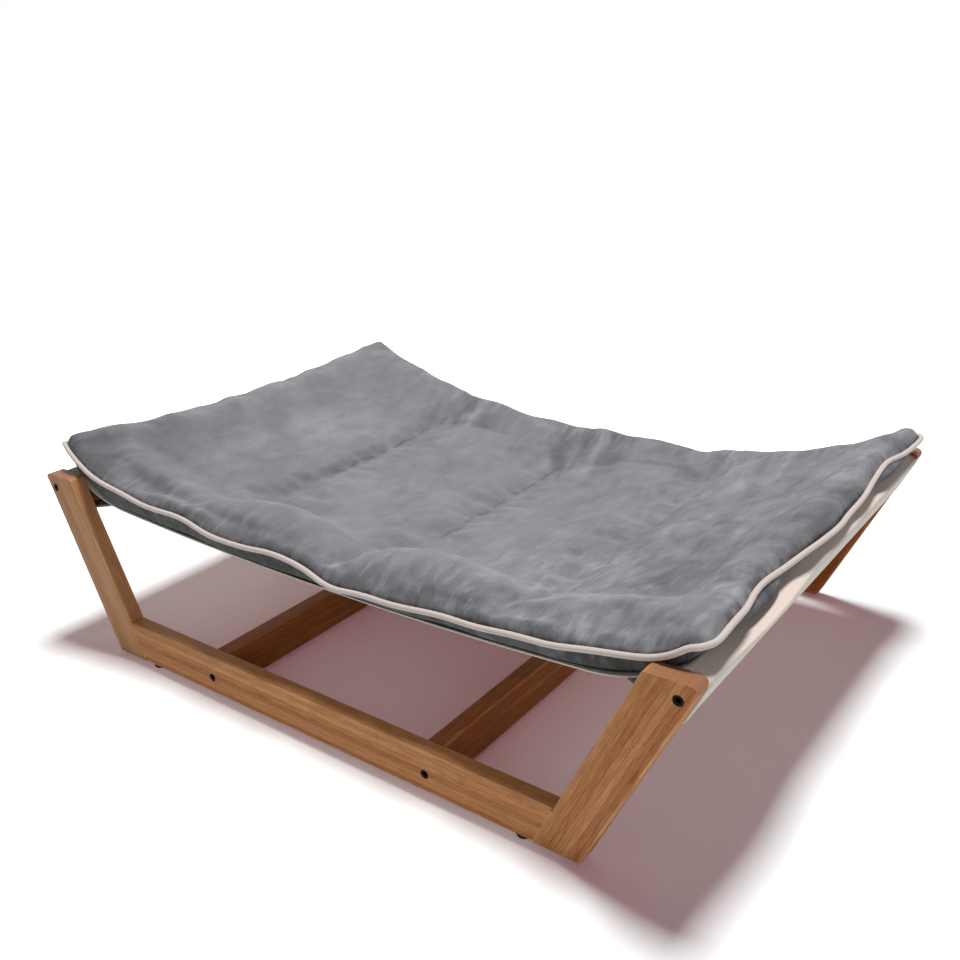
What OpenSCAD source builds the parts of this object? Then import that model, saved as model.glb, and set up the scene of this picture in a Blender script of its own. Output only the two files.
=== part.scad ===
// Pet hammock: a splayed bamboo frame bolted from two end-on frames, a canvas
// sling on two crossbars, and a loose piped cushion lying in the sling.
// Millimetres, +Z up, origin on the floor under the middle of the frame.
// +X runs along the hammock, -Y is the front.

/* [Boards] */
// Width of the bamboo boards
board_w = 45; // [40:0.5:50]
// Thickness of the bamboo boards
board_t = 20; // [18:0.5:24]
// Radius of the eased long edges
edge_r = 2.5; // [1:0.25:4]
// Radius of the rounded leg corners
corner_r = 6; // [3:0.5:8]

/* [Frame] */
// Width over the leg tops, to their sharp corners
top_span = 838; // [760:1:920]
// Depth over the front and rear frames
frame_depth = 620; // [520:1:700]
// Upright height of a leg
leg_h = 211; // [195:1:235]
// Outward lean of the legs from upright, in degrees
lean = 25; // [22:0.5:28]
// Distance between the centres of the two stretchers
stretcher_span = 301; // [220:1:360]
// Height of a stretcher bolt above the rail's lower edge
rail_bolt_z = 20; // [16:0.5:24]

/* [Crossbars] */
// Distance down the lean from the leg's top corner to the crossbar
bar_drop = 9; // [8:0.5:14]
// Distance from the leg's outer face in to the crossbar's outer face
bar_inset = 0.5; // [0:0.25:3]
// Distance down the crossbar to its bolt
bar_bolt_s = 13; // [11:0.5:17]
// Distance down the crossbar to its dowel
bar_dowel_s = 33; // [29:0.5:37]

/* [Bolts] */
// Diameter of the bolt shank
bolt_d = 6; // [5:0.5:6]
// Length of the bolt under its head
bolt_len = 36; // [30:1:45]
// Diameter of the bolt head
head_d = 9.5; // [8.5:0.25:10]
// Height of the bolt head
head_h = 5; // [4:0.5:6]
// Depth of the head below the board's face
head_sink = 0.8; // [0.2:0.1:2]
// Width across the flats of the hex socket
socket_af = 5; // [4:0.5:5]
// Depth of the hex socket
socket_depth = 3; // [2:0.25:3.5]
// Outside diameter of a threaded insert
insert_d = 9; // [8.5:0.25:10]
// Length of a threaded insert
insert_len = 15; // [12:0.5:18]

/* [Dowels] */
// Diameter of the glued dowels
dowel_d = 8; // [6:0.5:9]
// Length of the glued dowels
dowel_len = 26; // [20:1:30]
// Distance between the two dowels of a leg joint
rail_dowel_gap = 19; // [16:0.5:21]
// Distance of a stretcher's dowel above its bolt
str_dowel_rise = 15; // [12:0.5:16]

/* [Feet] */
// Height of a rubber foot
foot_h = 6; // [4:0.5:9]
// Diameter of a rubber foot at the rail
foot_d = 15; // [13:0.5:17]
// Diameter of the flat that meets the floor
foot_tip_d = 11; // [10:0.5:12]
// Diameter of the recess for the screw head
foot_recess_d = 7; // [6.5:0.25:8]
// Depth of the recess for the screw head
foot_recess_h = 3; // [2.5:0.25:3.5]
// Distance from a rail's lower end in to the centre of a foot
foot_inset = 14; // [12:0.5:60]
// Diameter of the foot screws
screw_d = 3.5; // [3:0.1:4]
// Diameter of a foot screw's head
screw_head_d = 6; // [5:0.25:6.25]
// Height of a foot screw's head
screw_head_h = 2; // [1.5:0.25:2.25]
// Length of a foot screw under its head
screw_len = 16; // [12:0.5:20]

/* [Sling] */
// Thickness of the canvas
cloth_t = 1.6; // [1:0.1:2]
// Drop from the leg tops to the middle of the front hem
hem_drop = 50; // [40:1:60]
// Further sag of the middle of the sling below its hems
sling_sag = 43; // [25:1:50]
// Angle at which the canvas leaves a crossbar, in degrees
leave_angle = 35; // [30:1:40]
// Length of the canvas from a crossbar to the sleeve's seam
sleeve_len = 64; // [50:1:80]
// Gap from the sling's edge to a leg
sling_end_gap = 1; // [0.5:0.25:3]

/* [Cushion] */
// Distance from the leg tops' corners in to the ends of the cushion's seam
end_in = 9; // [4:0.5:24]
// Height of the seam above the sling
seam_h = 19; // [15:0.5:24]
// Width of the rounded lower edge
belly_w = 30; // [20:1:60]
// Height of the puffed lip beside the seam
lip_h = 12; // [6:0.5:16]
// Width of the lip
lip_w = 18; // [12:1:30]
// Rise of the flat of the top above the seam
crown_h = 13; // [8:0.5:20]
// Distance from the lip to the flat of the top
crown_w = 60; // [40:1:90]
// Height of the stuffed rolls along the front, above the seam
roll_h = 18; // [8:0.5:24]
// Distance from the front seam to the crest of a roll
roll_w = 60; // [45:1:75]
// Width of the slope behind the crest of a roll
roll_run = 80; // [50:1:100]
// Depth of the sewn channels
channel_depth = 7; // [3:0.5:10]
// Half width of a sewn channel
channel_w = 24; // [18:1:34]
// Dip of the seam at each channel's end
seam_dip = 4; // [1:0.5:6]
// How far the ends sink between the corners
end_sink = 11; // [2:0.5:12]
// Slope of the cushion past the crossbars, in degrees
end_lean = 12; // [6:1:30]
// How far the front and the ends are drawn in
draw_in = 6; // [2:0.5:10]
// How far the rear is drawn in
rear_draw_in = 25; // [10:0.5:30]
// How far each corner is rounded in
corner_in = 9; // [6:0.5:14]
// Thickness of the cover's cloth
cover_t = 1.2; // [0.8:0.1:1.6]
// Half height of the fill at its edge
fill_rim = 0.5; // [0.4:0.1:1]
// Gap from the cushion's seam to a leg's inner face
side_gap = 0.8; // [0.5:0.1:3]
// Diameter of the piping
piping_d = 5.6; // [4:0.2:6.4]

/* [Clearances] */
// Play round dowels, bolts and inserts
fit = 0.2; // [0.1:0.05:0.3]
// Empty depth past the end of a dowel or bolt
end_play = 1; // [0.5:0.25:1.5]
// Gap between layers of cloth and what they lie on
lay = 0.3; // [0.2:0.05:0.4]
// Gap from the cushion down to the sling
rest_gap = 1.3; // [1.1:0.05:1.5]

/* [Hidden] */
$fn = 48;

// How far a cut runs past the face that it opens
over = 1;
// Sides of a hex socket
hex = 6;
// Sides of the piping
piping_sides = 8;
// Keeps a division from meeting zero at the cushion's rim
tiny = 0.001;

// Leg tops and the inner faces of the frame
top_x = top_span / 2;
top_z = foot_h + leg_h;
half_depth = frame_depth / 2;
inner_y = half_depth - board_t;
leg_len = leg_h / cos(lean) + board_w * tan(lean);

// A point given by its distance s down the lean and n in from the outer face
function on_leg(s, n) = [
    top_x - s * sin(lean) - n * cos(lean),
    top_z - s * cos(lean) + n * sin(lean)
];

// The distance down the lean of the point at depth n and height z
function drop_to(n, z) = (top_z - z + n * sin(lean)) / cos(lean);

// Half lengths of a rail along its lower and upper edges
rail_low = on_leg(drop_to(board_w, foot_h), board_w)[0];
rail_high = on_leg(drop_to(board_w, foot_h + board_w), board_w)[0];

// Bolts and inserts
bolt_seat = head_sink + head_h;
bolt_reach = bolt_seat + bolt_len;
bar_bolt = [bar_drop + bar_bolt_s, bar_inset + board_t / 2];
bar_dowel = [bar_drop + bar_dowel_s, bar_inset + board_t / 2];
stretcher_x = stretcher_span / 2;
rail_bolt_h = foot_h + rail_bolt_z;
joint_z = foot_h + board_w / 2;
foot_seat = foot_h - foot_recess_h;

// Canvas where it turns over a crossbar
cloth_off = lay + cloth_t / 2;
turn_r = edge_r + cloth_off;
bar_top_s = bar_drop + edge_r;
bar_low_s = bar_drop + board_w - edge_r;
bar_out_n = bar_inset + edge_r;
bar_in_n = bar_inset + board_t - edge_r;
out_angle = -lean;
up_angle = 90 - lean;
leave_normal = 90 + leave_angle;
turn_steps = 2;
// Direction that the outside of the canvas faces as it leaves the bar's underside
under_normal = -97;
leave_point = on_leg(bar_top_s, bar_in_n) + turn_r * [cos(leave_normal), sin(leave_normal)];
sheet_x = leave_point[0];
sheet_top = leave_point[1];

// Curve of the canvas: a flat parabola that turns up near the crossbars,
// from this share of the way out
turn_from = 0.78;
// A higher power keeps the canvas flat further out to its hems
sag_power = 4;
hem_z = top_z - hem_drop;
hem_rise = sheet_top - hem_z;
turn_span = 1 - turn_from;
turn_rise = (tan(leave_angle) * sheet_x - 2 * hem_rise) / (2 / turn_span - 2);
flat_rise = hem_rise - turn_rise;
sling_half = inner_y - sling_end_gap;
seam_x = sheet_x - sleeve_len;
seam_lap = cloth_t / cos(leave_angle) + lay;

function hem_at(x) =
    let (k = min(abs(x) / sheet_x, 1), t = max(0, (k - turn_from) / turn_span))
    hem_z + flat_rise * k * k + turn_rise * t * t;
function sag_at(x, y) =
    let (k = min(abs(x) / sheet_x, 1), v = min(abs(y) / sling_half, 1))
    sling_sag * (1 - k * k) * (1 - v ^ sag_power);
function past_bar(x) = max(0, abs(x) - sheet_x) * tan(end_lean);
function sheet_at(x, y) = hem_at(x) - sag_at(x, y) + past_bar(x);

// Cushion
half_len = top_x - end_in;
half_wide = inner_y - side_gap;
panels = 4;
channels = [for (i = [1:panels - 1]) half_len * (2 * i / panels - 1)];
panel_lap = fill_rim + lay;
rest_lift = cloth_t / 2 / cos(leave_angle) + rest_gap;
sheet_steps = 20;
sling_rows = 16;
panel_steps = 6;
cross_steps = 16;
// A higher power keeps the rounding closer to the corners
corner_power = 6;
// A lower power makes the rolls fuller close to the channels
lobe_power = 0.6;
// Higher powers keep the sinking of the ends closer to the ends and away from the corners
end_power = 10;
side_power = 4;

function channel_at(x) =
    [for (c = channels) exp(-((x - c) / channel_w) ^ 2)] * [for (c = channels) 1];
// Rounds a side over from 0 at the seam to 1 at distance w from it
function bulge(d, w) = let (q = 1 - min(d / w, 1)) sqrt(1 - q * q);
// Goes smoothly from 0 to 1 as t does
function eased(t) = let (k = max(0, min(t, 1))) k * k * (3 - 2 * k);
// 0 at the channels and the ends, 1 halfway between them
function lobe(u) = abs(sin(90 * panels * (u + 1))) ^ lobe_power;
function plan(u, v) =
    let (c = corner_in * (u * u * v * v) ^ corner_power)
    let (side_in = draw_in + (rear_draw_in - draw_in) * max(0, v))
    [u * (half_len - draw_in * (1 - v * v) - c), v * (half_wide - side_in * (1 - u * u) - c)];
function edge_gap(u, v) =
    let (a = (1 - abs(u)) * half_len, b = (1 - abs(v)) * half_wide)
    a * b / max(norm([a, b]), tiny);
function rest_at(p) = sheet_at(p[0], p[1]) + rest_lift;
function sink_at(p) =
    end_sink * abs(p[0] / half_len) ^ end_power * (1 - abs(p[1] / half_wide) ^ side_power);
function rise_at(p) = seam_h - seam_dip * channel_at(p[0]) - sink_at(p);
function seam_at(p) = rest_at(p) + rise_at(p);
function under_at(u, v) =
    let (p = plan(u, v), low = rise_at(p) - panel_lap - cover_t)
    rest_at(p) + low * (1 - bulge(edge_gap(u, v), belly_w));
// Top without its rolls: a lip beside the seam, then the flat with its channels
function flat_at(u, v) =
    let (p = plan(u, v), gap = edge_gap(u, v))
    seam_at(p) + panel_lap + cover_t + lip_h * bulge(gap, lip_w)
        + (crown_h - lip_h) * eased((gap - lip_w) / crown_w)
        - channel_depth * channel_at(p[0]) * bulge(gap, crown_w);
// Front roll: from the front seam up to a crest, and gone behind it
function roll_at(u, gap) =
    seam_at(plan(u, -1)) + panel_lap + cover_t + roll_h * bulge(gap, roll_w);
function roll_share(u, gap) = lobe(u) * (1 - eased((gap - roll_w) / roll_run));
function over_at(u, v) =
    let (low = flat_at(u, v), gap = (1 + v) * half_wide)
    low + roll_share(u, gap) * max(0, roll_at(u, gap) - low);

// Stations along the cushion, closer together at the channels and ends
cushion_u = concat(
    [for (c = [0:panels - 1], i = [0:panel_steps - 1])
        (2 * c + 1 - cos(180 * i / panel_steps)) / panels - 1],
    [1]
);
cushion_v = [for (j = [0:cross_steps]) -cos(180 * j / cross_steps)];
last_u = len(cushion_u) - 1;

function over_grid(drop) = [for (u = cushion_u) [for (v = cushion_v)
    let (p = plan(u, v)) [p[0], p[1], over_at(u, v) - drop]]];
function under_grid(lift) = [for (u = cushion_u) [for (v = cushion_v)
    let (p = plan(u, v)) [p[0], p[1], under_at(u, v) + lift]]];

// Closed solid between an upper and a lower grid of points
module grid_solid(upper, lower) {
    m = len(upper);
    n = len(upper[0]);
    function at(i, j) = i * n + j;
    function under(i, j) = m * n + at(i, j);
    points = concat([for (row = upper) each row], [for (row = lower) each row]);
    skins = [for (i = [0:m - 2], j = [0:n - 2]) each [
        [at(i, j), at(i, j + 1), at(i + 1, j + 1)],
        [at(i, j), at(i + 1, j + 1), at(i + 1, j)],
        [under(i, j), under(i + 1, j + 1), under(i, j + 1)],
        [under(i, j), under(i + 1, j), under(i + 1, j + 1)]
    ]];
    sides = [for (i = [0:m - 2]) each [
        [at(i, 0), at(i + 1, 0), under(i + 1, 0)],
        [at(i, 0), under(i + 1, 0), under(i, 0)],
        [at(i, n - 1), under(i + 1, n - 1), at(i + 1, n - 1)],
        [at(i, n - 1), under(i, n - 1), under(i + 1, n - 1)]
    ]];
    ends = [for (j = [0:n - 2]) each [
        [at(0, j), under(0, j + 1), at(0, j + 1)],
        [at(0, j), under(0, j), under(0, j + 1)],
        [at(m - 1, j), at(m - 1, j + 1), under(m - 1, j + 1)],
        [at(m - 1, j), under(m - 1, j + 1), under(m - 1, j)]
    ]];
    polyhedron(points, concat(skins, sides, ends), convexity = 8);
}

// Closed tube of the given diameter round a closed loop of points
module closed_tube(loop, d, sides) {
    n = len(loop);
    function ring(i) =
        let (t = loop[(i + 1) % n] - loop[(i + n - 1) % n], e = [t[1], -t[0], 0] / norm([t[0], t[1]]))
        let (f = cross(t, e) / norm(t))
        [for (k = [0:sides - 1]) loop[i] + d / 2 * (cos(360 * k / sides) * e + sin(360 * k / sides) * f)];
    points = [for (i = [0:n - 1]) each ring(i)];
    function at(i, k) = (i % n) * sides + k % sides;
    faces = [for (i = [0:n - 1], k = [0:sides - 1]) each [
        [at(i, k), at(i, k + 1), at(i + 1, k + 1)],
        [at(i, k), at(i + 1, k + 1), at(i + 1, k)]
    ]];
    polyhedron(points, faces, convexity = 8);
}

// Board section with eased corners, its lower left corner at the origin
module eased(w, h, r) {
    translate([r, 0])
        square([w - 2 * r, h]);
    translate([0, r])
        square([w, h - 2 * r]);
    for (x = [r, w - r], y = [r, h - r])
        translate([x, y])
            circle(r);
}

// Repeats the front right piece at all four corners
module four_corners() {
    for (mx = [0, 1], my = [0, 1])
        mirror([mx, 0, 0])
            mirror([0, my, 0])
                children();
}

// Cylinder that runs in from the front face of the front frame
module front_bore(x, z, d, from, to) {
    translate([x, from - half_depth, z])
        rotate([-90, 0, 0])
            cylinder(d = d, h = to - from);
}

// The leg's own frame: local X out of its outer face, local Z up the lean
module leg_frame() {
    translate([top_x, 0, top_z])
        rotate([0, lean, 0])
            children();
}

// Outline of the front right leg, rounded at its top and outer foot
module leg_outline() {
    foot_w = board_w / cos(lean);
    foot_x = top_x - leg_h * tan(lean);
    blunt = corner_r / tan((90 - lean) / 2);
    open = corner_r / tan((90 + lean) / 2);
    run = [sin(lean), cos(lean)];
    inner_foot = [foot_x - foot_w, foot_h];
    outer_foot = [foot_x, foot_h];
    outer_top = [top_x, top_z];
    inner_top = [top_x - foot_w, top_z];
    polygon([
        inner_foot, outer_foot - [open, 0], outer_foot + open * run,
        outer_top - blunt * run, outer_top - [blunt, 0],
        inner_top + [open, 0], inner_top - open * run
    ]);
    translate(outer_foot + [-open, corner_r])
        circle(corner_r);
    translate(outer_top - [blunt, corner_r])
        circle(corner_r);
    translate(inner_top + [open, -corner_r])
        circle(corner_r);
}

module leg_blank() {
    square_from = drop_to(board_w, foot_h + board_w - edge_r);
    intersection() {
        translate([0, -inner_y, 0])
            rotate([90, 0, 0])
                linear_extrude(board_t)
                    leg_outline();
        leg_frame()
            translate([-board_w, -half_depth, -leg_len]) {
                linear_extrude(leg_len + board_w)
                    eased(board_w, board_t, edge_r);
                cube([board_w / 2, board_t, leg_len - square_from]);
            }
    }
}

// Dowels that join the front right leg to the front rail
module leg_joint(d, len) {
    mid_s = drop_to(board_w, joint_z);
    leg_frame()
        for (ds = [-1, 1] * rail_dowel_gap / 2)
            translate([-board_w - len / 2, board_t / 2 - half_depth, ds - mid_s])
                rotate([0, 90, 0])
                    cylinder(d = d, h = len);
}

module leg() {
    bolt = on_leg(bar_bolt[0], bar_bolt[1]);
    dowel = on_leg(bar_dowel[0], bar_dowel[1]);
    color("peru")
        difference() {
            leg_blank();
            front_bore(bolt[0], bolt[1], head_d + 2 * fit, -over, bolt_seat);
            front_bore(bolt[0], bolt[1], bolt_d + 2 * fit, 0, board_t + over);
            front_bore(dowel[0], dowel[1], dowel_d + 2 * fit,
                board_t - dowel_len / 2 - end_play, board_t + over);
            leg_joint(dowel_d + 2 * fit, dowel_len + 2 * end_play);
        }
}

module front_right_leg() {
    leg();
}

module front_left_leg() {
    mirror([1, 0, 0])
        leg();
}

module rear_right_leg() {
    mirror([0, 1, 0])
        leg();
}

module rear_left_leg() {
    mirror([1, 0, 0])
        mirror([0, 1, 0])
            leg();
}

// Front rail, its ends sloped to the legs
module rail() {
    color("peru")
        difference() {
            intersection() {
                translate([-rail_high, -half_depth, foot_h])
                    rotate([90, 0, 90])
                        linear_extrude(2 * rail_high)
                            eased(board_t, board_w, edge_r);
                translate([0, -inner_y, 0])
                    rotate([90, 0, 0])
                        linear_extrude(board_t)
                            polygon([
                                [-rail_low, foot_h], [rail_low, foot_h],
                                [rail_high, foot_h + board_w], [-rail_high, foot_h + board_w]
                            ]);
            }
            for (m = [0, 1])
                mirror([m, 0, 0]) {
                    leg_joint(dowel_d + 2 * fit, dowel_len + 2 * end_play);
                    front_bore(stretcher_x, rail_bolt_h, head_d + 2 * fit, -over, bolt_seat);
                    front_bore(stretcher_x, rail_bolt_h, bolt_d + 2 * fit, 0, board_t + over);
                    front_bore(stretcher_x, rail_bolt_h + str_dowel_rise, dowel_d + 2 * fit,
                        board_t - dowel_len / 2 - end_play, board_t + over);
                    foot_place()
                        translate([0, 0, foot_h - over])
                            cylinder(d = screw_d + 2 * fit, h = over + screw_len + end_play - foot_seat);
                }
        }
}

module front_rail() {
    rail();
}

module rear_rail() {
    mirror([0, 1, 0])
        rail();
}

// Bores in a piece that butts against the back of a front board
module end_bores(bolt, dowel) {
    front_bore(bolt[0], bolt[1], insert_d + 2 * fit, board_t - over, board_t + insert_len + end_play);
    front_bore(bolt[0], bolt[1], bolt_d + 2 * fit, board_t, bolt_reach + end_play);
    front_bore(dowel[0], dowel[1], dowel_d + 2 * fit,
        board_t - over, board_t + dowel_len / 2 + end_play);
}

module stretcher() {
    color("sienna")
        difference() {
            translate([stretcher_x - board_t / 2, inner_y, foot_h])
                rotate([90, 0, 0])
                    linear_extrude(2 * inner_y)
                        eased(board_t, board_w, edge_r);
            for (m = [0, 1])
                mirror([0, m, 0])
                    end_bores([stretcher_x, rail_bolt_h], [stretcher_x, rail_bolt_h + str_dowel_rise]);
        }
}

module right_stretcher() {
    stretcher();
}

module left_stretcher() {
    mirror([1, 0, 0])
        stretcher();
}

module crossbar() {
    color("sienna")
        difference() {
            leg_frame()
                translate([-bar_inset - board_t, inner_y, -bar_drop - board_w])
                    rotate([90, 0, 0])
                        linear_extrude(2 * inner_y)
                            eased(board_t, board_w, edge_r);
            for (m = [0, 1])
                mirror([0, m, 0])
                    end_bores(on_leg(bar_bolt[0], bar_bolt[1]), on_leg(bar_dowel[0], bar_dowel[1]));
        }
}

module right_crossbar() {
    crossbar();
}

module left_crossbar() {
    mirror([1, 0, 0])
        crossbar();
}

module rail_dowels() {
    color("burlywood")
        four_corners()
            leg_joint(dowel_d, dowel_len);
}

module stretcher_dowels() {
    color("burlywood")
        four_corners()
            front_bore(stretcher_x, rail_bolt_h + str_dowel_rise, dowel_d,
                board_t - dowel_len / 2, board_t + dowel_len / 2);
}

module crossbar_dowels() {
    place = on_leg(bar_dowel[0], bar_dowel[1]);
    color("burlywood")
        four_corners()
            front_bore(place[0], place[1], dowel_d, board_t - dowel_len / 2, board_t + dowel_len / 2);
}

// Socket head bolt that enters from the front
module bolt(x, z) {
    difference() {
        union() {
            front_bore(x, z, head_d, head_sink, bolt_seat);
            front_bore(x, z, bolt_d, bolt_seat, bolt_reach);
        }
        translate([x, -half_depth, z])
            rotate([-90, 180 / hex, 0])
                cylinder(d = socket_af / cos(180 / hex), h = head_sink + socket_depth, $fn = hex);
    }
}

module stretcher_bolts() {
    color("dimgray")
        four_corners()
            bolt(stretcher_x, rail_bolt_h);
}

module crossbar_bolts() {
    place = on_leg(bar_bolt[0], bar_bolt[1]);
    color("dimgray")
        four_corners()
            bolt(place[0], place[1]);
}

// Threaded insert in the end of a stretcher or crossbar
module insert(x, z) {
    difference() {
        front_bore(x, z, insert_d, board_t + end_play / 2, board_t + end_play / 2 + insert_len);
        front_bore(x, z, bolt_d + fit, board_t, board_t + 2 * end_play + insert_len);
    }
}

module stretcher_inserts() {
    color("goldenrod")
        four_corners()
            insert(stretcher_x, rail_bolt_h);
}

module crossbar_inserts() {
    place = on_leg(bar_bolt[0], bar_bolt[1]);
    color("goldenrod")
        four_corners()
            insert(place[0], place[1]);
}

// Rubber feet under the ends of the rails, each held by a screw
module foot_place() {
    translate([rail_low - foot_inset, board_t / 2 - half_depth, 0])
        children();
}

module feet() {
    side = (foot_d - foot_tip_d) / 2;
    color("dimgray")
        four_corners()
            foot_place()
                rotate_extrude()
                    difference() {
                        union() {
                            square([foot_tip_d / 2, foot_h]);
                            translate([0, side])
                                square([foot_d / 2, foot_h - side]);
                            translate([foot_tip_d / 2, side])
                                intersection() {
                                    circle(side);
                                    translate([0, -side])
                                        square(side);
                                }
                        }
                        translate([-over, -over])
                            square([over + foot_recess_d / 2, over + foot_recess_h]);
                        translate([-over, 0])
                            square([over + screw_d / 2 + fit, foot_h + over]);
                    }
}

module foot_screws() {
    color("silver")
        four_corners()
            foot_place() {
                translate([0, 0, foot_recess_h - screw_head_h])
                    cylinder(d = screw_head_d, h = screw_head_h);
                translate([0, 0, foot_recess_h])
                    cylinder(d = screw_d, h = screw_len);
            }
}

// Middle line of the canvas round the right crossbar, from the sheet to its seam
function turn(s, n, from, to) = [for (i = [0:turn_steps])
    let (a = from + (to - from) * i / turn_steps) on_leg(s, n) + turn_r * [cos(a), sin(a)]];
function sleeve_path(y) =
    let (low_turn = turn(bar_low_s, bar_out_n, out_angle, under_normal))
    let (low = low_turn[turn_steps], seam = [seam_x, sheet_at(seam_x, y) - seam_lap])
    concat(
        turn(bar_top_s, bar_in_n, leave_normal, up_angle),
        turn(bar_top_s, bar_out_n, up_angle, out_angle),
        low_turn,
        [(2 * low + seam) / 3, (low + 2 * seam) / 3, seam]
    );
function mirrored(path) = [for (i = [len(path) - 1:-1:0]) [-path[i][0], path[i][1]]];
function canvas_path(y) =
    let (right = sleeve_path(y))
    concat(
        mirrored(right),
        [for (i = [1:sheet_steps - 1])
            let (x = -sheet_x * cos(180 * i / sheet_steps)) [x, sheet_at(x, y)]],
        right
    );
function beside(path, off) = let (last = len(path) - 1) [for (i = [0:last])
    let (t = path[min(i + 1, last)] - path[max(i - 1, 0)]) path[i] + off * [-t[1], t[0]] / norm(t)];

module sling() {
    rows = [for (j = [0:sling_rows]) -sling_half * cos(180 * j / sling_rows)];
    outside = [for (y = rows) beside(canvas_path(y), cloth_t / 2)];
    inside = [for (y = rows) beside(canvas_path(y), -cloth_t / 2)];
    steps = len(outside[0]) - 1;
    color("wheat")
        grid_solid(
            [for (i = [0:steps]) [for (j = [0:sling_rows]) [outside[j][i][0], rows[j], outside[j][i][1]]]],
            [for (i = [0:steps]) [for (j = [0:sling_rows]) [inside[j][i][0], rows[j], inside[j][i][1]]]]
        );
}

module cushion_bottom_panel() {
    color("slategray")
        grid_solid(under_grid(cover_t), under_grid(0));
}

module cushion_fill() {
    color("whitesmoke")
        grid_solid(over_grid(cover_t + lay), under_grid(cover_t + lay));
}

module cushion_top_panel() {
    color("gray")
        grid_solid(over_grid(0), over_grid(cover_t));
}

// Piping sewn along the seam, just outside the panels' edges
function rim_point(u, v) =
    let (p = plan(u, v), w = piping_d / 2 + lay)
    let (dir = [abs(u) == 1 ? u : 0, abs(v) == 1 ? v : 0], out = w * dir / norm(dir))
    [p[0] + out[0], p[1] + out[1], seam_at(p)];

module cushion_piping() {
    last_v = len(cushion_v) - 1;
    loop = concat(
        [for (i = [0:last_u - 1]) rim_point(cushion_u[i], -1)],
        [for (j = [0:last_v - 1]) rim_point(1, cushion_v[j])],
        [for (i = [last_u:-1:1]) rim_point(cushion_u[i], 1)],
        [for (j = [last_v:-1:1]) rim_point(-1, cushion_v[j])]
    );
    color("antiquewhite")
        closed_tube(loop, piping_d, piping_sides);
}

front_left_leg();
front_right_leg();
rear_left_leg();
rear_right_leg();
front_rail();
rear_rail();
left_stretcher();
right_stretcher();
left_crossbar();
right_crossbar();
rail_dowels();
stretcher_dowels();
crossbar_dowels();
stretcher_bolts();
crossbar_bolts();
stretcher_inserts();
crossbar_inserts();
feet();
foot_screws();
sling();
cushion_bottom_panel();
cushion_fill();
cushion_top_panel();
cushion_piping();
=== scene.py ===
# %% [markdown]
# # A cat hammock
#
# Two splayed bamboo frames hold two crossbars, a canvas sling hangs between the crossbars, and a loose
# piped cushion lies in the sling. The hard pieces come ready made as solids, so this lesson gives them
# their finish. The soft pieces are made again here, because cloth needs finer shapes than a solid gives.

# %% Load the solids
import math

import bmesh
import bpy
from mathutils import Matrix, Vector, noise


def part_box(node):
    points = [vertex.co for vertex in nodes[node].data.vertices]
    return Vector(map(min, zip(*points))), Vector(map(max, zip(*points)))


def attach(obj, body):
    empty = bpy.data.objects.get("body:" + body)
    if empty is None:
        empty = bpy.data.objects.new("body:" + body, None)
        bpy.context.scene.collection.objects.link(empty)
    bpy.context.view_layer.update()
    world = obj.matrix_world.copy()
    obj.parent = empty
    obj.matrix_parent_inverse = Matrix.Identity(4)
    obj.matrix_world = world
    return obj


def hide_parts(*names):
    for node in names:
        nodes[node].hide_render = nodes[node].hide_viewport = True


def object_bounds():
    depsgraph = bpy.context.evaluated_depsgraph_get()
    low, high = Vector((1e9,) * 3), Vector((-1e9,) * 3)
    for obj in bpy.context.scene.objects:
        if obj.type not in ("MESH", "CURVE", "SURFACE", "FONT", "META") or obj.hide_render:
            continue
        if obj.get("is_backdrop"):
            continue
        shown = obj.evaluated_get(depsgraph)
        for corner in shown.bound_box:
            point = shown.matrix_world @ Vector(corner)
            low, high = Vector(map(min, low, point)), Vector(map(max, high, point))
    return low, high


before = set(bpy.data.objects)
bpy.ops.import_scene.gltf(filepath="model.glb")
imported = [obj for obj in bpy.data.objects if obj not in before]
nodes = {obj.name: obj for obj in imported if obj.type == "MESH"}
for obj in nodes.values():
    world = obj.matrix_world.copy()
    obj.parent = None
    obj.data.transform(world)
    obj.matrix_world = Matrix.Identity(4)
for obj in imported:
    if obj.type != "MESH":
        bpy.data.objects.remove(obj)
solid_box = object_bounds()
scene = bpy.context.scene
scene.view_settings.view_transform = "Standard"
print("solids:", len(nodes), "box:", solid_box)

# %% [markdown]
# ## The camera
#
# The view is from the front right and above. A camera is easiest to place as a chain of turns: first
# round the upright axis, then down towards the floor, then a small roll about its own line of sight. Its
# shift slides the picture without turning the camera.

# %% Place the camera
CAMERA_AT = (0.6708, -0.9385, 0.6441)
CAMERA_TURN, CAMERA_DOWN, CAMERA_ROLL = 38.545, 21.781, -2.216
CAMERA_SHIFT = (0.0528, 0.0092)
LENS = 38.9

camera_data = bpy.data.cameras.new("camera")
camera_data.lens = LENS
camera_data.shift_x, camera_data.shift_y = CAMERA_SHIFT
camera = bpy.data.objects.new("camera", camera_data)
camera.matrix_world = (
    Matrix.Translation(CAMERA_AT)
    @ Matrix.Rotation(math.radians(CAMERA_TURN), 4, "Z")
    @ Matrix.Rotation(math.radians(90 - CAMERA_DOWN), 4, "X")
    @ Matrix.Rotation(math.radians(CAMERA_ROLL), 4, "Z")
)
scene.collection.objects.link(camera)
scene.camera = camera
print("camera at", tuple(round(x, 3) for x in camera.matrix_world.translation))

# %% [markdown]
# ## Sums with sockets
#
# A finish is a net of shader nodes, and most of the net is plain arithmetic. Wrapping a socket in a small
# class lets Python's own signs add the Math nodes, so a pattern reads like a formula. Everything else
# comes from one method that takes a node's type, its settings and what goes into its sockets.

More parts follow.
